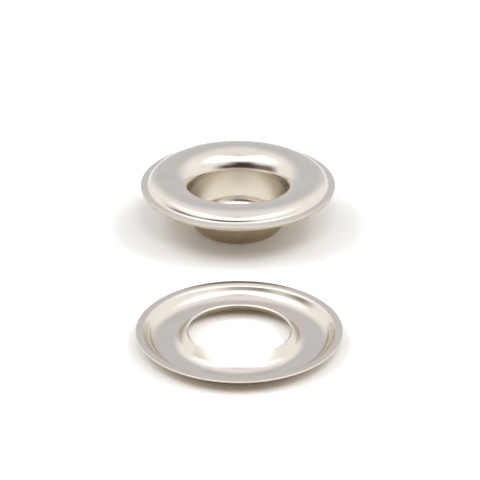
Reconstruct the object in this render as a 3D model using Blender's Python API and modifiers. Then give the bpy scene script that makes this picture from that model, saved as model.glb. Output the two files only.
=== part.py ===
"""Two-part grommet pressed from thin sheet: a flanged eyelet and the washer it is set against.

They lie as two loose pieces do before they are set. The eyelet stands on the end of its
barrel with the rolled crown upwards. The washer lies in front of it on the floor of its
trough, with the hollow side upwards. Both are turned shapes, each bent from one round blank.
"""
import math

import bpy
from mathutils import Vector

MM = 0.001

# The eyelet, measured on the face that shows from above and inside the barrel
EYELET_SHEET = 0.30 * MM
EYELET_RADIUS = 10.0 * MM
EYELET_HEIGHT = 5.73 * MM
CROWN_RISE = 1.10 * MM
EYELET_LIP_TILT = 12.0
FOOT_BEND = 0.37 * MM
SHOULDER_BEND = 1.18 * MM
SHOULDER_TILT = 26.0
CROWN_OUTER_BEND = 2.85 * MM
CROWN_INNER_BEND = 2.9 * MM
THROAT_BEND = 2.25 * MM
THROAT_TILT = 30.0
BARREL_TILT = 85.6
NOSE_BEND = 1.55 * MM
NOSE_TILT = 34.0
BARREL_END_RADIUS = 3.97 * MM

# The washer, measured on the face that shows when the trough is upwards
WASHER_SHEET = 0.22 * MM
WASHER_RADIUS = 10.0 * MM
WASHER_HEIGHT = 1.39 * MM
WASHER_LIP_TILT = 0.0
LIP_BEND = 0.50 * MM
WASHER_LIP_WIDTH = 0.74 * MM
WALL_TILT = 57.0
WALL_BEND = 1.57 * MM
HOLE_RADIUS = 4.95 * MM
HOLE_EDGE_HEIGHT = 1.44 * MM
SLOPE_TILT = 51.5
SLOPE_BEND = 1.38 * MM

# How the two pieces lie, and how finely a bend and a full turn are divided
PIECE_SPACING = 25.0 * MM
BEND_STEP = 12.0
TURN_STEPS = 64
MERGE_DISTANCE = 0.001 * MM
SHARP_CORNER = 40.0


def normal(tilt):
    """Unit normal of a face tilted outwards by tilt degrees, as (radius, height)."""
    angle = math.radians(tilt)
    return Vector((math.sin(angle), math.cos(angle)))


def bend(centre, radius, tilt_from, tilt_to):
    """Face points round a bend, each with its tilt. A hollow bend has a negative radius."""
    count = max(2, math.ceil(abs(tilt_to - tilt_from) / BEND_STEP))
    tilts = [tilt_from + (tilt_to - tilt_from) * i / count for i in range(count + 1)]
    return [(centre + radius * normal(tilt), tilt) for tilt in tilts]


def corner_bend(corner, radius, tilt_from, tilt_to):
    """The bend that rounds the corner where two straight runs of the face would meet."""
    signed = math.copysign(radius, tilt_to - tilt_from)
    reach = signed / math.cos(math.radians(tilt_to - tilt_from) / 2)
    centre = corner - reach * normal((tilt_from + tilt_to) / 2)
    return bend(centre, signed, tilt_from, tilt_to)


def back_points(face, sheet):
    """The other side of the sheet: each face point moved square to the face by its thickness."""
    return [point - sheet * normal(tilt) for point, tilt in face]


def throat_centre(nose):
    """Centre of the throat bend, which the straight barrel meets on its way up from the nose."""
    inward = normal(-BARREL_TILT)
    height = EYELET_HEIGHT - CROWN_INNER_BEND + (CROWN_INNER_BEND - THROAT_BEND) * normal(THROAT_TILT).y
    reach = -(NOSE_BEND + THROAT_BEND + (height - nose.y) * inward.y) / inward.x
    return Vector((nose.x + reach, height))


def foot_tilt(shoulder, rim):
    """Tilt at which the shoulder bend turns into the foot bend that runs out into the lip."""
    above_lip = (shoulder - rim).dot(normal(EYELET_LIP_TILT))
    cosine = (FOOT_BEND - above_lip) / (SHOULDER_BEND + FOOT_BEND)
    return EYELET_LIP_TILT + math.degrees(math.acos(cosine))


def eyelet_section():
    """Closed section of the eyelet: nose, barrel, rolled crown, foot and lip, then the back."""
    end = Vector((BARREL_END_RADIUS, 0.0))
    rim = Vector((EYELET_RADIUS, EYELET_HEIGHT - CROWN_RISE))
    nose = end + NOSE_BEND * normal(-NOSE_TILT)
    throat = throat_centre(nose)
    inner_crown = throat - (CROWN_INNER_BEND - THROAT_BEND) * normal(-THROAT_TILT)
    outer_crown = Vector((inner_crown.x, EYELET_HEIGHT - CROWN_OUTER_BEND))
    shoulder = outer_crown + (CROWN_OUTER_BEND - SHOULDER_BEND) * normal(SHOULDER_TILT)
    steepest = foot_tilt(shoulder, rim)
    foot = shoulder + (SHOULDER_BEND + FOOT_BEND) * normal(steepest)

    face = bend(nose, -NOSE_BEND, -NOSE_TILT, -BARREL_TILT)
    face += bend(throat, THROAT_BEND, -BARREL_TILT, -THROAT_TILT)
    face += bend(inner_crown, CROWN_INNER_BEND, -THROAT_TILT, 0.0)[1:]
    face += bend(outer_crown, CROWN_OUTER_BEND, 0.0, SHOULDER_TILT)[1:]
    face += bend(shoulder, SHOULDER_BEND, SHOULDER_TILT, steepest)[1:]
    face += bend(foot, -FOOT_BEND, steepest, EYELET_LIP_TILT)[1:]
    face.append((rim, EYELET_LIP_TILT))

    back = back_points(face, EYELET_SHEET)
    # The barrel's end is cut square with its axis, so it stands on a flat ring
    back = [point for point in back if point.y > 0.0]
    reach = math.sqrt((NOSE_BEND + EYELET_SHEET) ** 2 - nose.y ** 2)
    back.insert(0, Vector((nose.x + reach, 0.0)))
    return [point for point, tilt in face] + back[::-1]


def washer_section():
    """Closed section of the washer: raised hole edge, trough, wall and lip, then the back."""
    rim = Vector((WASHER_RADIUS, WASHER_HEIGHT))
    hole_edge = Vector((HOLE_RADIUS + WASHER_SHEET * normal(SLOPE_TILT).x, HOLE_EDGE_HEIGHT))
    wall_top = rim - Vector((WASHER_LIP_WIDTH, 0.0))
    wall_drop = WASHER_HEIGHT - WASHER_SHEET
    slope_drop = HOLE_EDGE_HEIGHT - WASHER_SHEET
    wall_foot = wall_top - Vector((wall_drop / math.tan(math.radians(WALL_TILT)), wall_drop))
    slope_run = slope_drop / math.tan(math.radians(SLOPE_TILT))
    slope_foot = hole_edge + Vector((slope_run, -slope_drop))

    face = [(hole_edge, SLOPE_TILT)]
    face += corner_bend(slope_foot, SLOPE_BEND, SLOPE_TILT, 0.0)
    face += corner_bend(wall_foot, WALL_BEND, 0.0, -WALL_TILT)
    face += corner_bend(wall_top, LIP_BEND, -WALL_TILT, WASHER_LIP_TILT)
    face.append((rim, WASHER_LIP_TILT))
    return [point for point, tilt in face] + back_points(face, WASHER_SHEET)[::-1]


def plated_material(name, colour, roughness):
    """Bright nickel plate: a metallic surface that is nearly a mirror."""
    material = bpy.data.materials.new(name)
    material.use_nodes = True
    shader = material.node_tree.nodes["Principled BSDF"]
    shader.inputs["Base Color"].default_value = (*colour, 1.0)
    shader.inputs["Metallic"].default_value = 1.0
    shader.inputs["Roughness"].default_value = roughness
    return material


def turned_piece(name, section, place, material, collection):
    """Turn a closed section once about the piece's own axis and stand the piece in its place."""
    profile = bpy.data.meshes.new(name + "_section")
    corners = [(point.x, 0.0, point.y) for point in section]
    count = len(corners)
    profile.from_pydata(corners, [(i, (i + 1) % count) for i in range(count)], [])

    piece = bpy.data.objects.new(name, profile)
    piece.location = place
    collection.objects.link(piece)
    screw = piece.modifiers.new("turn", "SCREW")
    screw.axis = "Z"
    screw.angle = 2 * math.pi
    screw.steps = TURN_STEPS
    screw.render_steps = TURN_STEPS
    screw.use_merge_vertices = True
    screw.merge_threshold = MERGE_DISTANCE

    bpy.context.view_layer.update()
    turned = piece.evaluated_get(bpy.context.evaluated_depsgraph_get())
    mesh = bpy.data.meshes.new_from_object(turned)
    mesh.name = name
    mesh.materials.append(material)
    mesh.shade_smooth()
    mesh.set_sharp_from_angle(angle=math.radians(SHARP_CORNER))
    piece.modifiers.clear()
    piece.data = mesh
    bpy.data.meshes.remove(profile)
    return piece


def build():
    """Both pieces, side by side along Y, with the floor at height zero."""
    for old in list(bpy.data.objects):
        bpy.data.objects.remove(old)
    grommet = bpy.data.collections.new("grommet_eyelet")
    bpy.context.scene.collection.children.link(grommet)
    eyelet_plate = plated_material("eyelet_nickel", (0.72, 0.68, 0.62), 0.16)
    washer_plate = plated_material("washer_nickel", (0.74, 0.70, 0.64), 0.18)
    half_spacing = PIECE_SPACING / 2
    turned_piece("eyelet", eyelet_section(), (0.0, half_spacing, 0.0), eyelet_plate, grommet)
    turned_piece("washer", washer_section(), (0.0, -half_spacing, 0.0), washer_plate, grommet)


build()
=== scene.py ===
# %% [markdown]
# # A two-part grommet in bright nickel plate
# The real thing is pressed from thin sheet in two pieces: a flanged eyelet with a barrel, and a
# washer that the barrel is later rolled over. They stand apart here, before they are set.
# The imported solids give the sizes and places. This script gives both pieces a finer surface,
# a plated finish, a pale floor and a soft light tent round them.

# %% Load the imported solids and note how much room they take
import math

import bmesh
import bpy
from mathutils import Matrix, Vector


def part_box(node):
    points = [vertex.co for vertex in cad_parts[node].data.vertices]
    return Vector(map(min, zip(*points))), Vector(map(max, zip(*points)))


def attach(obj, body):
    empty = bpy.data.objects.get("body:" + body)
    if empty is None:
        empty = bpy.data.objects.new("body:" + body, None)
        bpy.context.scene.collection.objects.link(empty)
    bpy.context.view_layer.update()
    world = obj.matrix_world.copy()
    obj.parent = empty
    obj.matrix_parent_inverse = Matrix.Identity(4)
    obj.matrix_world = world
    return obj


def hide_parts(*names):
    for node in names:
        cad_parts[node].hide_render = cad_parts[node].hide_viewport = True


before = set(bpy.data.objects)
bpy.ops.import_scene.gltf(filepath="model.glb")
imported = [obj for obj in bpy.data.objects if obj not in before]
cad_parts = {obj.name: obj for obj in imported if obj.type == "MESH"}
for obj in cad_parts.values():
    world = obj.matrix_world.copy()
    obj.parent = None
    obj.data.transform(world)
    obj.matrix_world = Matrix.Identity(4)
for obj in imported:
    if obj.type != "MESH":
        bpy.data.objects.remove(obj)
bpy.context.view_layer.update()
MM = 0.001


def sizes_of(node):
    """Outer radius, height and the point on the floor under the middle of a turned node."""
    low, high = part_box(node)
    middle = (low + high) / 2
    return (high.x - low.x) / 2, high.z, Vector((middle.x, middle.y, 0.0))


EYELET_RADIUS, EYELET_HEIGHT, EYELET_PLACE = sizes_of("eyelet")
WASHER_RADIUS, WASHER_TOP, WASHER_PLACE = sizes_of("washer")
print("eyelet radius %.2f mm, height %.2f mm" % (EYELET_RADIUS / MM, EYELET_HEIGHT / MM))
print("washer radius %.2f mm, height %.2f mm" % (WASHER_RADIUS / MM, WASHER_TOP / MM))

# %% [markdown]
# ## A pen that draws the section of a pressed sheet
# A press leaves a sheet with straight runs and round bends, so its section could be typed in as
# points, drawn as a curve, or drawn with a pen that knows only these two strokes. The pen was
# chosen because it makes each stroke with one mesh operator: a straight run extrudes the last
# point, and a bend spins the last point about the bend's centre. The slope of the sheet is given
# by its tilt: 0 degrees lies flat, and 90 degrees stands upright and faces away from the axis.

# %% The pen's two strokes
BEND_STEP = 4.0


def normal(tilt):
    """Unit normal of a sheet tilted outwards by tilt degrees, in the section's plane y = 0."""
    angle = math.radians(tilt)
    return Vector((math.sin(angle), 0.0, math.cos(angle)))


def draw_run(outline, tip, point):
    """Draw a straight run of the section from the last point to a new one."""
    made = bmesh.ops.extrude_vert_indiv(outline, verts=[tip])
    end = made["verts"][0]
    bmesh.ops.translate(outline, verts=[end], vec=point - tip.co)
    return end


def draw_bend(outline, tip, centre, tilt_from, tilt_to):
    """Draw a round bend of the section by spinning the last point about the bend's centre."""
    steps = max(2, math.ceil(abs(tilt_to - tilt_from) / BEND_STEP))
    turned = math.radians(tilt_to - tilt_from)
    made = bmesh.ops.spin(
        outline, geom=[tip], cent=centre, axis=(0.0, 1.0, 0.0), angle=turned, steps=steps)
    return next(item for item in made["geom_last"] if isinstance(item, bmesh.types.BMVert))


# %% [markdown]
# ## From a section to a sheet of real thickness
# The drawn line is the face that shows. A full spin turns it into an open shell, and solidify
# gives the shell the thickness of the sheet, measured away from the face. A shell drawn as two
# lines could have the same form, but then each bend would have to be worked out twice.
# A blanking tool leaves a small radius on a cut edge, so the sharp rings get a fine bevel.

# %% Turn, thicken and round the cut edges
TURN_STEPS = 288
MERGE_DISTANCE = 0.0005 * MM
CUT_EDGE_ANGLE = math.radians(55.0)
CUT_EDGE_SEGMENTS = 3


def turn_outline(outline):
    """Spin the drawn line once round the upright axis and point its faces up or outwards."""
    geometry = outline.verts[:] + outline.edges[:]
    bmesh.ops.spin(
        outline, geom=geometry, cent=(0.0, 0.0, 0.0), axis=(0.0, 0.0, 1.0),
        angle=2.0 * math.pi, steps=TURN_STEPS, use_merge=True,
    )
    bmesh.ops.remove_doubles(outline, verts=outline.verts[:], dist=MERGE_DISTANCE)
    bmesh.ops.recalc_face_normals(outline, faces=outline.faces[:])
    highest = max(outline.faces, key=lambda face: face.calc_center_median().z)
    if highest.normal.z < 0.0:
        bmesh.ops.reverse_faces(outline, faces=outline.faces[:])


def thicken(shell, sheet):
    """Give the shell the thickness of the sheet, on the side that its faces point away from."""
    bmesh.ops.solidify(shell, geom=shell.faces[:], thickness=sheet)


def round_cut_edges(shell, radius):
    """Round the sharp rings that the blanking tool left."""
    sharp = [edge for edge in shell.edges if edge.calc_face_angle(0.0) > CUT_EDGE_ANGLE]
    bmesh.ops.bevel(
        shell, geom=sharp, offset=radius, offset_type="OFFSET", segments=CUT_EDGE_SEGMENTS,
        profile=0.5, affect="EDGES", material=-1,
    )
    return len(sharp)


# %% [markdown]
# ## The eyelet
# The eyelet is deep drawn: a nose that curls in at the barrel's end, an upright barrel, a throat
# bend, a rolled crown of three blended bends, a tight foot where the crown meets the lip, and a
# narrow lip that falls a little towards its edge. The straight barrel runs up from the nose and
# meets the throat bend without a corner, so the crown's place follows from it.

# %% The eyelet's own sizes
EYELET_SHEET = 0.30 * MM
CROWN_RISE = 1.10 * MM
EYELET_LIP_TILT = 12.0
FOOT_BEND = 0.37 * MM
SHOULDER_BEND = 1.18 * MM
SHOULDER_TILT = 26.0
CROWN_OUTER_BEND = 2.85 * MM
CROWN_INNER_BEND = 2.9 * MM
THROAT_BEND = 2.25 * MM
THROAT_TILT = 30.0
BARREL_TILT = 85.6
NOSE_BEND = 1.55 * MM
NOSE_TILT = 34.0
NOSE_EXTRA_TILT = 8.0
BARREL_END_RADIUS = 3.97 * MM
CUT_EDGE_ROUND = 0.035 * MM


def throat_centre(nose):
    """Centre of the throat bend, which the straight barrel meets on its way up from the nose."""
    inward = normal(-BARREL_TILT)
    blend = (CROWN_INNER_BEND - THROAT_BEND) * normal(THROAT_TILT).z
    height = EYELET_HEIGHT - CROWN_INNER_BEND + blend
    reach = -(NOSE_BEND + THROAT_BEND + (height - nose.z) * inward.z) / inward.x
    return Vector((nose.x + reach, 0.0, height))


def foot_tilt(shoulder, rim):
    """Tilt at which the shoulder bend hands over to the foot bend."""
    above_lip = (shoulder - rim).dot(normal(EYELET_LIP_TILT))
    cosine = (FOOT_BEND - above_lip) / (SHOULDER_BEND + FOOT_BEND)
    return EYELET_LIP_TILT + math.degrees(math.acos(cosine))


# %% Draw the eyelet's section and turn it
def make_eyelet():
    """The eyelet about the upright axis, standing on its barrel at height zero."""
    rim = Vector((EYELET_RADIUS, 0.0, EYELET_HEIGHT - CROWN_RISE))
    nose = Vector((BARREL_END_RADIUS, 0.0, 0.0)) + NOSE_BEND * normal(-NOSE_TILT)
    throat = throat_centre(nose)
    inner_crown = throat - (CROWN_INNER_BEND - THROAT_BEND) * normal(-THROAT_TILT)
    outer_crown = Vector((inner_crown.x, 0.0, EYELET_HEIGHT - CROWN_OUTER_BEND))
    shoulder = outer_crown + (CROWN_OUTER_BEND - SHOULDER_BEND) * normal(SHOULDER_TILT)
    steepest = foot_tilt(shoulder, rim)
    foot = shoulder + (SHOULDER_BEND + FOOT_BEND) * normal(steepest)

    # The nose starts a little low, so that it can be cut off square once it has its thickness
    start = NOSE_EXTRA_TILT - NOSE_TILT
    outline = bmesh.new()
    tip = outline.verts.new(nose - NOSE_BEND * normal(start))
    tip = draw_bend(outline, tip, nose, start, -BARREL_TILT)
    tip = draw_run(outline, tip, throat + THROAT_BEND * normal(-BARREL_TILT))
    tip = draw_bend(outline, tip, throat, -BARREL_TILT, -THROAT_TILT)
    tip = draw_bend(outline, tip, inner_crown, -THROAT_TILT, 0.0)
    tip = draw_bend(outline, tip, outer_crown, 0.0, SHOULDER_TILT)
    tip = draw_bend(outline, tip, shoulder, SHOULDER_TILT, steepest)
    tip = draw_bend(outline, tip, foot, steepest, EYELET_LIP_TILT)
    draw_run(outline, tip, rim)
    print("crest radius %.2f mm, steepest shoulder %.1f degrees" % (inner_crown.x / MM, steepest))

    turn_outline(outline)
    thicken(outline, EYELET_SHEET)
    everything = outline.verts[:] + outline.edges[:] + outline.faces[:]
    bmesh.ops.bisect_plane(
        outline, geom=everything, dist=MERGE_DISTANCE, plane_co=(0.0, 0.0, 0.0),
        plane_no=(0.0, 0.0, -1.0), clear_outer=True,
    )
    open_rings = [edge for edge in outline.edges if edge.is_boundary]
    bmesh.ops.bridge_loops(outline, edges=open_rings)
    bmesh.ops.recalc_face_normals(outline, faces=outline.faces[:])
    rings = round_cut_edges(outline, CUT_EDGE_ROUND)
    print("eyelet: %d sharp edges rounded, %d faces" % (rings, len(outline.faces)))
    return outline


eyelet_mesh = make_eyelet()

# %% [markdown]
# ## The washer
# The washer is a shallow trough: a flat lip, a steep wall, a flat floor and a slope that rises to
# the edge of the hole. Each bend rounds a corner where two straight runs would meet, so a
# helper works out the bend's centre from the corner and draws the run up to it first.

# %% The washer's own sizes
WASHER_SHEET = 0.22 * MM
RIM_HEIGHT = 1.39 * MM
LIP_BEND = 0.50 * MM
WASHER_LIP_WIDTH = 0.74 * MM
WALL_TILT = 57.0
WALL_BEND = 1.57 * MM
HOLE_RADIUS = 4.95 * MM
HOLE_EDGE_HEIGHT = 1.44 * MM
SLOPE_TILT = 51.5
SLOPE_BEND = 1.38 * MM


def draw_corner(outline, tip, corner, radius, tilt_from, tilt_to):
    """Draw the run up to a rounded corner and then the bend that rounds it."""
    signed = math.copysign(radius, tilt_to - tilt_from)
    reach = signed / math.cos(math.radians(tilt_to - tilt_from) / 2.0)
    centre = corner - reach * normal((tilt_from + tilt_to) / 2.0)
    tip = draw_run(outline, tip, centre + signed * normal(tilt_from))
    return draw_bend(outline, tip, centre, tilt_from, tilt_to)


# %% Draw the washer's section and turn it
def make_washer():
    """The washer about the upright axis, lying on the floor of its trough."""
    rim = Vector((WASHER_RADIUS, 0.0, RIM_HEIGHT))
    hole_edge = Vector((HOLE_RADIUS + WASHER_SHEET * normal(SLOPE_TILT).x, 0.0, HOLE_EDGE_HEIGHT))
    wall_top = rim - Vector((WASHER_LIP_WIDTH, 0.0, 0.0))
    wall_drop = RIM_HEIGHT - WASHER_SHEET
    wall_foot = wall_top - Vector((wall_drop / math.tan(math.radians(WALL_TILT)), 0.0, wall_drop))
    slope_drop = HOLE_EDGE_HEIGHT - WASHER_SHEET
    slope_run = slope_drop / math.tan(math.radians(SLOPE_TILT))
    slope_foot = hole_edge + Vector((slope_run, 0.0, -slope_drop))

    outline = bmesh.new()
    tip = outline.verts.new(hole_edge)
    tip = draw_corner(outline, tip, slope_foot, SLOPE_BEND, SLOPE_TILT, 0.0)
    tip = draw_corner(outline, tip, wall_foot, WALL_BEND, 0.0, -WALL_TILT)
    tip = draw_corner(outline, tip, wall_top, LIP_BEND, -WALL_TILT, 0.0)
    draw_run(outline, tip, rim)

    turn_outline(outline)
    thicken(outline, WASHER_SHEET)
    rings = round_cut_edges(outline, CUT_EDGE_ROUND)
    print("washer: %d sharp edges rounded, %d faces" % (rings, len(outline.faces)))
    return outline


washer_mesh = make_washer()

# %% [markdown]
# ## Noise in turned coordinates
# Tool marks on a pressed part run round the axis or away from it. A noise texture knows nothing
# of an axis, so its coordinates are first turned into an angle and a radius. The tool marks,
# the skin of the plating and the hairlines are groups, because both materials use them.


# %% Helpers for shader nodes
# A mix node has sockets for every kind under the same names, so they are told apart by place
MIX_SOCKETS = {"FLOAT": (2, 3, 0), "RGBA": (6, 7, 2)}


def group_tree(name, inputs, outputs):
    """A new shader node group with its named sockets."""
    tree = bpy.data.node_groups.new(name, "ShaderNodeTree")
    for socket, kind, value in inputs:
        made = tree.interface.new_socket(name=socket, in_out="INPUT", socket_type=kind)
        if value is not None:
            made.default_value = value
    for socket, kind in outputs:
        tree.interface.new_socket(name=socket, in_out="OUTPUT", socket_type=kind)
    return tree, tree.nodes.new("NodeGroupInput"), tree.nodes.new("NodeGroupOutput")


def feed(tree, socket, value):
    """Link a socket to another one, or set it to a plain value."""
    if isinstance(value, bpy.types.NodeSocket):
        tree.links.new(value, socket)
    else:
        socket.default_value = value


def math_node(tree, operation, first, second=0.0, third=0.0):
    """The result of one math node."""
    node = tree.nodes.new("ShaderNodeMath")
    node.operation = operation
    for socket, value in zip(node.inputs, (first, second, third)):
        feed(tree, socket, value)
    return node.outputs["Value"]


def noise_node(tree, vector, scale, detail=2.0, roughness=0.5):
    """The grey value of a noise texture."""
    node = tree.nodes.new("ShaderNodeTexNoise")
    feed(tree, node.inputs["Vector"], vector)
    feed(tree, node.inputs["Scale"], scale)
    node.inputs["Detail"].default_value = detail
    node.inputs["Roughness"].default_value = roughness
    return node.outputs["Fac"]


def range_node(tree, value, from_min, from_max, to_min=0.0, to_max=1.0):
    """A value moved from one range to another, with soft ends."""
    node = tree.nodes.new("ShaderNodeMapRange")
    node.interpolation_type = "SMOOTHSTEP"
    sockets = ("Value", "From Min", "From Max", "To Min", "To Max")
    for name, entry in zip(sockets, (value, from_min, from_max, to_min, to_max)):
        feed(tree, node.inputs[name], entry)
    return node.outputs["Result"]


def split_vector(tree, vector):
    """The three parts of a vector."""
    node = tree.nodes.new("ShaderNodeSeparateXYZ")
    tree.links.new(vector, node.inputs["Vector"])
    return node.outputs


def mix_node(tree, kind, factor, first, second):
    """Two values or two colours mixed by a factor."""
    node = tree.nodes.new("ShaderNodeMix")
    node.data_type = kind
    first_place, second_place, result_place = MIX_SOCKETS[kind]
    feed(tree, node.inputs["Factor"], factor)
    feed(tree, node.inputs[first_place], first)
    feed(tree, node.inputs[second_place], second)
    return node.outputs[result_place]


def mix_value(tree, factor, first, second):
    """Two values mixed by a factor."""
    return mix_node(tree, "FLOAT", factor, first, second)


def mix_colour(tree, factor, first, second):
    """Two colours mixed by a factor."""
    return mix_node(tree, "RGBA", factor, first, second)


# %% The group that lays tool marks round the axis
DRAW_LINE_BREAKS = 300.0


def press_marks_group():
    """Fine rings round the axis and draw lines away from it, as a height from 0 to 1."""
    tree, given, result = group_tree(
        "press_marks",
        [("Vector", "NodeSocketVector", None), ("Rings", "NodeSocketFloat", 9000.0),
         ("Draw Lines", "NodeSocketFloat", 60.0), ("Balance", "NodeSocketFloat", 0.5)],
        [("Height", "NodeSocketFloat")],
    )
    across, along, up = split_vector(tree, given.outputs["Vector"])
    angle = math_node(tree, "ARCTAN2", along, across)
    squared = math_node(tree, "ADD", math_node(tree, "MULTIPLY", across, across),
                        math_node(tree, "MULTIPLY", along, along))
    radius = math_node(tree, "SQRT", squared)
    # The seam of the angle is hidden by using its sine and cosine instead of the angle itself
    turn_x = math_node(tree, "COSINE", angle)
    turn_y = math_node(tree, "SINE", angle)

    ring_count = given.outputs["Rings"]
    ring_place = tree.nodes.new("ShaderNodeCombineXYZ")
    feed(tree, ring_place.inputs["X"], math_node(tree, "MULTIPLY", radius, ring_count))
    feed(tree, ring_place.inputs["Y"], math_node(tree, "MULTIPLY", up, ring_count))
    feed(tree, ring_place.inputs["Z"], turn_x)
    rings = noise_node(tree, ring_place.outputs["Vector"], 1.0, 3.0)

    line_count = given.outputs["Draw Lines"]
    line_place = tree.nodes.new("ShaderNodeCombineXYZ")
    feed(tree, line_place.inputs["X"], math_node(tree, "MULTIPLY", turn_x, line_count))
    feed(tree, line_place.inputs["Y"], math_node(tree, "MULTIPLY", turn_y, line_count))
    feed(tree, line_place.inputs["Z"], math_node(tree, "MULTIPLY", radius, DRAW_LINE_BREAKS))
    lines = noise_node(tree, line_place.outputs["Vector"], 1.0, 2.0)

    both = mix_value(tree, given.outputs["Balance"], rings, lines)
    tree.links.new(both, result.inputs["Height"])
    return tree


# %% The group that gives the plating its skin
CLOUD_SCALE = 420.0
CLOUD_LIMITS = (0.35, 0.65)


def plating_skin_group():
    """Soft waviness with a fine grain on top, and a separate mask of cloudy patches."""
    tree, given, result = group_tree(
        "plating_skin",
        [("Vector", "NodeSocketVector", None), ("Wave Scale", "NodeSocketFloat", 260.0),
         ("Grain Scale", "NodeSocketFloat", 9000.0), ("Grain Share", "NodeSocketFloat", 0.1)],
        [("Height", "NodeSocketFloat"), ("Clouds", "NodeSocketFloat")],
    )
    waves = noise_node(tree, given.outputs["Vector"], given.outputs["Wave Scale"], 1.0)
    grain = noise_node(tree, given.outputs["Vector"], given.outputs["Grain Scale"], 2.0)
    both = mix_value(tree, given.outputs["Grain Share"], waves, grain)
    tree.links.new(both, result.inputs["Height"])
    clouds = noise_node(tree, given.outputs["Vector"], CLOUD_SCALE, 4.0, 0.6)
    tree.links.new(range_node(tree, clouds, *CLOUD_LIMITS), result.inputs["Clouds"])
    return tree


# %% The group that scatters hairline scratches
HAIRLINE_LIMITS = (0.68, 0.76)
HAIRLINE_LEAN = (0.2, 0.3)
HAIRLINE_DIRECTIONS = (
    # turn in radians, stretch along the three axes
    (0.5, (900.0, 14000.0, 900.0)),
    (-0.9, (14000.0, 900.0, 900.0)),
)


def hairlines_group():
    """A mask of short fine scratches in two directions, as handling in a bulk bin leaves."""
    tree, given, result = group_tree(
        "hairlines",
        [("Vector", "NodeSocketVector", None), ("Amount", "NodeSocketFloat", 0.5)],
        [("Mask", "NodeSocketFloat")],
    )
    masks = []
    for turn, stretch in HAIRLINE_DIRECTIONS:
        place = tree.nodes.new("ShaderNodeMapping")
        tree.links.new(given.outputs["Vector"], place.inputs["Vector"])
        place.inputs["Rotation"].default_value = (*HAIRLINE_LEAN, turn)
        place.inputs["Scale"].default_value = stretch
        streak = noise_node(tree, place.outputs["Vector"], 1.0, 1.0)
        masks.append(range_node(tree, streak, *HAIRLINE_LIMITS))
    strongest = math_node(tree, "MAXIMUM", masks[0], masks[1])
    scaled = math_node(tree, "MULTIPLY", strongest, given.outputs["Amount"])
    tree.links.new(scaled, result.inputs["Mask"])
    return tree


press_marks = press_marks_group()
plating_skin = plating_skin_group()
hairlines = hairlines_group()
print("node groups:", press_marks.name, plating_skin.name, hairlines.name)

# %% [markdown]
# ## Bright nickel plate
# Nickel reflects a little less blue than red, which is why its reflections of reflections turn
# to straw. The plating levels the sheet, so it is nearly a mirror, with a low roughness that
# rises in clouds and along hairlines. The back of the sheet is duller, and it is painted darker
# and warmer as painted shade. On both pieces the back is the side whose normal points down, if
# only a little, so that is how it is told apart. Drawing scuffs the sheet where it stands
# upright, which leaves the inside of the barrel satin. The upright faces are also painted a
# little paler, as painted light. The shader stays in each material.

# %% Build the two nickel finishes
NICKEL = (0.725, 0.67, 0.59, 1.0)
NICKEL_CLOUD = (0.70, 0.645, 0.56, 1.0)
# Painted light: a paler colour that upright faces take
UPRIGHT_PAINTED_LIGHT = (0.80, 0.745, 0.655, 1.0)
# Painted shade: a darker, warmer colour that the faces pointing down take
PAINTED_BACK_SHADE = (0.52, 0.44, 0.32, 1.0)
PLATE_ROUGHNESS = 0.16
CLOUD_EXTRA_ROUGHNESS = 0.03
HAIRLINE_AMOUNT = 0.6
HAIRLINE_EXTRA_ROUGHNESS = 0.12
BACK_EXTRA_ROUGHNESS = 0.06
DRAWN_EXTRA_ROUGHNESS = 0.12
WAVE_DEPTH = 0.004 * MM
MARK_DEPTH = 0.0004 * MM
# Heights of the normal between which the back gives way to the face, and upright sheet to flat
BACK_SHADE_LIMITS = (-0.04, 0.02)
UPRIGHT_LIMITS = (0.10, 0.34)


def place_group(tree, group, **values):
    """Put a node group in a material and set its inputs."""
    node = tree.nodes.new("ShaderNodeGroup")
    node.node_tree = group
    for name, value in values.items():
        feed(tree, node.inputs[name.replace("_", " ")], value)
    return node


def bump_node(tree, height, depth):
    """A bump node whose heights from 0 to 1 span a depth."""
    node = tree.nodes.new("ShaderNodeBump")
    node.inputs["Distance"].default_value = depth
    tree.links.new(height, node.inputs["Height"])
    return node


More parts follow.
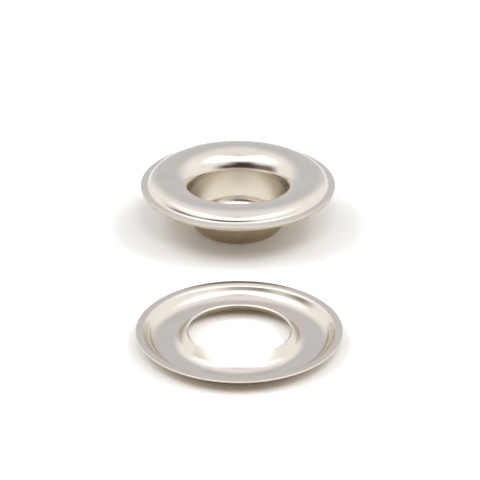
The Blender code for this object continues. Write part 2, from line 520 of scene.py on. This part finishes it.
def nickel_material(name, middle):
    """Bright nickel plate for a turned piece whose axis stands at middle."""
    material = bpy.data.materials.new(name)
    material.use_nodes = True
    tree = material.node_tree
    shader = tree.nodes["Principled BSDF"]
    shader.inputs["Metallic"].default_value = 1.0

    coordinates = tree.nodes.new("ShaderNodeTexCoord")
    centred = tree.nodes.new("ShaderNodeMapping")
    centred.inputs["Location"].default_value = -middle
    tree.links.new(coordinates.outputs["Object"], centred.inputs["Vector"])
    place = centred.outputs["Vector"]

    marks = place_group(tree, press_marks, Vector=place)
    skin = place_group(tree, plating_skin, Vector=place)
    lines = place_group(tree, hairlines, Vector=place, Amount=HAIRLINE_AMOUNT)

    geometry = tree.nodes.new("ShaderNodeNewGeometry")
    facing_up = split_vector(tree, geometry.outputs["Normal"])["Z"]
    # Painted shade: faces whose normal points down are darkened and warmed
    back_shade_mask = range_node(tree, facing_up, *BACK_SHADE_LIMITS, 1.0, 0.0)
    upright = range_node(tree, facing_up, *UPRIGHT_LIMITS, 1.0, 0.0)

    plated = mix_colour(tree, skin.outputs["Clouds"], NICKEL, NICKEL_CLOUD)
    # Painted light: upright faces are painted paler, while their satin comes from the roughness below
    upright_lightened = mix_colour(tree, upright, plated, UPRIGHT_PAINTED_LIGHT)
    # The faces pointing down take the painted shade colour
    tree.links.new(mix_colour(tree, back_shade_mask, upright_lightened, PAINTED_BACK_SHADE), shader.inputs["Base Color"])
    cloudy_roughness = PLATE_ROUGHNESS + CLOUD_EXTRA_ROUGHNESS
    cloudy = range_node(tree, skin.outputs["Clouds"], 0.0, 1.0, PLATE_ROUGHNESS, cloudy_roughness)
    scratches = lines.outputs["Mask"]
    scratched = math_node(tree, "MULTIPLY_ADD", scratches, HAIRLINE_EXTRA_ROUGHNESS, cloudy)
    satin = math_node(tree, "MULTIPLY", upright, DRAWN_EXTRA_ROUGHNESS)
    extra = mix_value(tree, back_shade_mask, satin, BACK_EXTRA_ROUGHNESS)
    tree.links.new(math_node(tree, "ADD", scratched, extra), shader.inputs["Roughness"])

    wave_bump = bump_node(tree, skin.outputs["Height"], WAVE_DEPTH)
    mark_bump = bump_node(tree, marks.outputs["Height"], MARK_DEPTH)
    tree.links.new(wave_bump.outputs["Normal"], mark_bump.inputs["Normal"])
    tree.links.new(mark_bump.outputs["Normal"], shader.inputs["Normal"])
    return material


eyelet_nickel = nickel_material("eyelet_nickel", EYELET_PLACE)
washer_nickel = nickel_material("washer_nickel", WASHER_PLACE)
print("materials:", eyelet_nickel.name, washer_nickel.name)

# %% [markdown]
# ## Put each piece where its solid stands
# Both pieces were made about their own axis. Their places go into their meshes, so the objects
# stay at the origin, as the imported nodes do. Round sheet is shaded smooth, and only the edges
# that are still sharp after the bevel are marked.

# %% Finish the two pieces
SHARP_EDGE = math.radians(40.0)


def finish_piece(name, shell, place, material, node):
    """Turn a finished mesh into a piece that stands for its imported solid."""
    shell.transform(Matrix.Translation(place))
    mesh = bpy.data.meshes.new(name)
    shell.to_mesh(mesh)
    shell.free()
    mesh.materials.append(material)
    mesh.shade_smooth()
    mesh.set_sharp_from_angle(angle=SHARP_EDGE)
    piece = bpy.data.objects.new(name, mesh)
    bpy.context.scene.collection.objects.link(piece)
    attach(piece, "root")
    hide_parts(node)
    print("%s: %d faces" % (name, len(mesh.polygons)))
    return piece


finish_piece("eyelet_pressing", eyelet_mesh, EYELET_PLACE, eyelet_nickel, "eyelet")
finish_piece("washer_pressing", washer_mesh, WASHER_PLACE, washer_nickel, "washer")

# %% [markdown]
# ## The floor
# The pieces stand on a plain white sweep, a matt plane that takes their shadow. It has a small
# warm glow that lights nothing: the camera sees it, directly, in the metal or through glass. With
# it the open floor comes out white and the shadow under the flange keeps its warm tone.

# %% Lay the floor
FLOOR_HALF_SIZE = 1.5
FLOOR_WHITE = (0.95, 0.95, 0.95, 1.0)
FLOOR_GLOW = (0.075, 0.065, 0.055, 1.0)
FLOOR_ROUGHNESS = 0.9
FLOOR_SHEEN_LEVEL = 0.1


def seen_directly(tree):
    """1 for the camera, for mirror-like surfaces and through glass, and 0 for light on matt ones."""
    path = tree.nodes.new("ShaderNodeLightPath")
    glossy, through = path.outputs["Is Glossy Ray"], path.outputs["Is Transmission Ray"]
    mirrored = math_node(tree, "MAXIMUM", glossy, through)
    return math_node(tree, "MAXIMUM", path.outputs["Is Camera Ray"], mirrored)


def make_floor():
    """A large pale plane just under the pieces."""
    sheet = bmesh.new()
    bmesh.ops.create_grid(sheet, x_segments=1, y_segments=1, size=FLOOR_HALF_SIZE)
    mesh = bpy.data.meshes.new("floor")
    sheet.to_mesh(mesh)
    sheet.free()
    material = bpy.data.materials.new("white_sweep")
    material.use_nodes = True
    tree = material.node_tree
    shader = tree.nodes["Principled BSDF"]
    shader.inputs["Base Color"].default_value = FLOOR_WHITE
    shader.inputs["Roughness"].default_value = FLOOR_ROUGHNESS
    shader.inputs["Specular IOR Level"].default_value = FLOOR_SHEEN_LEVEL
    shader.inputs["Emission Color"].default_value = FLOOR_GLOW
    tree.links.new(seen_directly(tree), shader.inputs["Emission Strength"])
    mesh.materials.append(material)
    floor = bpy.data.objects.new("floor", mesh)
    bpy.context.scene.collection.objects.link(floor)
    print("floor: %.1f m across" % (2.0 * FLOOR_HALF_SIZE))


make_floor()

# %% [markdown]
# ## The light tent
# A mirror shows its surroundings, so bright metal needs a room to reflect. A few lamps would
# leave it black between the highlights. A tent of white cloth was chosen: it is painted on the
# world by direction, as a few patches laid over each other. The azimuth is measured from the side
# that the camera looks from, positive to the right, and the elevation from the floor up.

# %% Name the patches of the tent
BACKDROP_WHITE = (1.0, 1.0, 1.0, 1.0)
TENT_CLOTH = (0.735, 0.745, 0.81)
TENT_PATCHES = (
    # name, colour, azimuth from, to, soft, elevation from, to, soft
    ("roof", (1.06, 1.08, 1.13), -400.0, 400.0, 1.0, 56.0, 100.0, 30.0),
    ("sides", (1.17, 1.18, 1.21), -150.0, 148.0, 34.0, -20.0, 66.0, 20.0),
    ("front softbox", (1.85, 1.89, 1.98), -108.0, 96.0, 50.0, 42.0, 70.0, 10.0),
    ("gap in the roof", (0.58, 0.57, 0.57), -16.0, 14.0, 18.0, 71.0, 80.0, 8.0),
    ("dark room", (0.06, 0.04, 0.025), -84.0, 48.0, 44.0, -40.0, 27.0, 16.0),
    ("room on the left", (0.22, 0.19, 0.16), -92.0, -34.0, 34.0, -40.0, 30.0, 12.0),
    ("camera in its gap", (0.05, 0.03, 0.018), -42.0, 18.0, 36.0, -40.0, 41.0, 9.0),
)


def patch_mask_group():
    """A patch of the tent: 1 inside its limits, falling softly to 0 outside them."""
    directions = (("Azimuth", "Left", "Right", "Side Soft"), ("Elevation", "Low", "High", "Edge Soft"))
    inputs = [(name, "NodeSocketFloat", 0.0) for row in directions for name in row]
    tree, given, result = group_tree("tent_patch", inputs, [("Mask", "NodeSocketFloat")])
    mask = 1.0
    for row in directions:
        value, first, last, soft = (given.outputs[name] for name in row)
        half = math_node(tree, "MULTIPLY", soft, 0.5)
        for limit, before, beyond in ((first, 0.0, 1.0), (last, 1.0, 0.0)):
            start = math_node(tree, "SUBTRACT", limit, half)
            end = math_node(tree, "ADD", limit, half)
            mask = math_node(tree, "MULTIPLY", mask, range_node(tree, value, start, end, before, beyond))
    tree.links.new(mask, result.inputs["Mask"])
    return tree


# %% Paint the tent on the world
def make_tent():
    """Light from every side, as the patches say, with plain white for the camera."""
    world = bpy.data.worlds.new("light_tent")
    world.use_nodes = True
    bpy.context.scene.world = world
    tree = world.node_tree
    background = tree.nodes["Background"]
    coordinates = tree.nodes.new("ShaderNodeTexCoord")
    right, back, up = split_vector(tree, coordinates.outputs["Generated"])
    front = math_node(tree, "MULTIPLY", back, -1.0)
    azimuth = math_node(tree, "DEGREES", math_node(tree, "ARCTAN2", right, front))
    elevation = math_node(tree, "DEGREES", math_node(tree, "ARCSINE", up))
    patch_mask = patch_mask_group()
    colour = (*TENT_CLOTH, 1.0)
    for name, shade, left_end, right_end, side_soft, low_end, high_end, edge_soft in TENT_PATCHES:
        patch = place_group(
            tree, patch_mask, Azimuth=azimuth, Elevation=elevation, Left=left_end,
            Right=right_end, Side_Soft=side_soft, Low=low_end, High=high_end, Edge_Soft=edge_soft)
        patch.label = name
        colour = mix_colour(tree, patch.outputs["Mask"], colour, (*shade, 1.0))
    path = tree.nodes.new("ShaderNodeLightPath")
    shown = mix_colour(tree, path.outputs["Is Camera Ray"], colour, BACKDROP_WHITE)
    tree.links.new(shown, background.inputs["Color"])
    world.cycles_visibility.diffuse = False
    print("tent patches:", len(TENT_PATCHES))


make_tent()

# %% [markdown]
# ## The studio lamps
# The tent is there for the mirror-like metal, so it is switched off for matt surfaces, which four
# lamps light instead. A wide lamp on each side gives most of the light and sends some of it in
# under the flange. A lamp overhead whitens the floor just outside the flange, and the key lamp,
# high on the camera's side, gives the shadow below it an edge. Bright metal would show the lamps
# as hard spots, so none of them is seen in reflections.

# %% Hang the lamps
LAMPS = (
    # name, distance in metres, elevation, azimuth from the camera's side, width in metres, watts
    ("key_lamp", 0.6, 61.0, 6.0, 0.18, 0.6),
    ("left_lamp", 0.6, 44.0, -93.0, 0.5, 2.4),
    ("right_lamp", 0.6, 44.0, 94.0, 0.5, 2.5),
    ("overhead_lamp", 0.6, 88.0, 0.0, 0.9, 1.8),
)


def hang_lamp(name, distance, elevation, azimuth, width, power):
    """A square lamp that points at the middle of the pieces."""
    lamp = bpy.data.lights.new(name, "AREA")
    lamp.shape = "SQUARE"
    lamp.size = width
    lamp.energy = power
    turn, rise = math.radians(azimuth), math.radians(elevation)
    away = Vector((math.sin(turn) * math.cos(rise), -math.cos(turn) * math.cos(rise), math.sin(rise)))
    holder = bpy.data.objects.new(name, lamp)
    holder.location = distance * away
    holder.rotation_euler = away.to_track_quat("Z", "Y").to_euler()
    holder.visible_glossy = False
    bpy.context.scene.collection.objects.link(holder)


for lamp_row in LAMPS:
    hang_lamp(*lamp_row)
print("lamps:", ", ".join(lamp_row[0] for lamp_row in LAMPS))

# %% [markdown]
# ## The camera
# The pieces are shot with a long lens from a low three-quarter height, which keeps the two rings
# almost the same width. The camera is placed by its distance, pitch and turn from the point that
# it looks at.

# %% Set up the camera
CAMERA_TARGET = Vector((0.000191, 0.008919, 0.0))
CAMERA_DISTANCE = 0.33775
CAMERA_PITCH = 27.484
CAMERA_TURN = 0.3208
CAMERA_LENS = 247.108
SENSOR_WIDTH = 36.0
NEAR_CLIP = 0.01


def make_camera():
    """A camera that looks down on the pieces with a long lens."""
    pitch, turn = math.radians(CAMERA_PITCH), math.radians(CAMERA_TURN)
    level = math.cos(pitch)
    forward = Vector((math.sin(turn) * level, math.cos(turn) * level, -math.sin(pitch)))
    lens = bpy.data.cameras.new("camera")
    lens.lens = CAMERA_LENS
    lens.sensor_width = SENSOR_WIDTH
    lens.clip_start = NEAR_CLIP
    camera = bpy.data.objects.new("camera", lens)
    camera.location = CAMERA_TARGET - CAMERA_DISTANCE * forward
    camera.rotation_euler = forward.to_track_quat("-Z", "Y").to_euler()
    bpy.context.scene.collection.objects.link(camera)
    bpy.context.scene.camera = camera
    print("camera: %.3f m away, %.0f mm lens" % (CAMERA_DISTANCE, CAMERA_LENS))


make_camera()
bpy.context.scene.view_settings.view_transform = "Standard"
